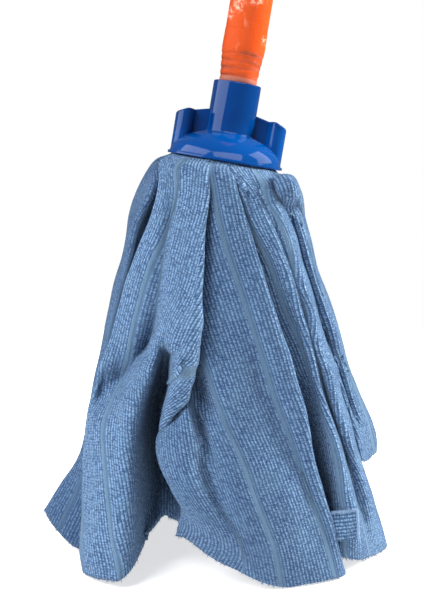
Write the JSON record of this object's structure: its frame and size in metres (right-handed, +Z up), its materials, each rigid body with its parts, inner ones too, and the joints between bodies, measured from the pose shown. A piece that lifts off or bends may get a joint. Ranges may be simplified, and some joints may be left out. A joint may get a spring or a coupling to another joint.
{
  "type": "cloth floor mop",
  "caption": "Wet floor mop: ribbed terry cloths gathered under a round screw cap with grip wings, on a long film-covered handle with a hanging eye.",
  "frame": {"origin": "middle of the whole object's footprint, on the floor that the cloths stand on", "axes": "+Z up; +X the way the handle leans; -Y the side with the front cloth"},
  "size_m": [0.3042, 0.159, 1.3549],
  "materials": {
    "cap_plastic": "glossy moulded polypropylene, blue",
    "disc_plastic": "satin moulded polypropylene",
    "zinc_steel": "zinc plated",
    "tape_fabric": "woven tape",
    "ring_plastic": "pale worn plastic",
    "tip_plastic": "satin, scuffed, orange",
    "pine": "turned softwood",
    "film": "smooth film, scuffed, orange",
    "terry_cloth": "ribbed microfibre terry, light blue"
  },
  "bodies": {
    "mop_head": {"socket_cap": "cap_plastic", "clamp_disc": "disc_plastic", "clamp_washer": "zinc_steel", "clamp_screw": "zinc_steel", "gather_tape": "tape_fabric", "cloth_front": "terry_cloth", "cloth_front_right": "terry_cloth", "cloth_right": "terry_cloth", "cloth_back_right": "terry_cloth", "cloth_back": "terry_cloth", "cloth_back_left": "terry_cloth", "cloth_left": "terry_cloth", "cloth_front_left": "terry_cloth"},
    "neck_ring": {"neck_ring": "ring_plastic"},
    "handle": {"screw_end": "tip_plastic", "end_tack": "zinc_steel", "stick": "pine", "film_sleeve": "film", "hanger_cap": "cap_plastic", "cap_tack": "zinc_steel"}
  },
  "joints": [
    {"name": "handle_rise", "type": "slide", "parent": "mop_head", "child": "neck_ring", "axis": [0.165, 0, 0.9863], "range_m": [0, 0.026]},
    {"name": "handle_turn", "type": "hinge", "parent": "neck_ring", "child": "handle", "pos_m": [-0.04028, 0.005, 0.26979], "axis": [0.165, 0, 0.9863], "range_deg": [0, 2340]}
  ],
  "couplings": [
    {"joint": "handle_rise", "follows": "handle_turn", "m_per_rad": 0.00063662}
  ]
}
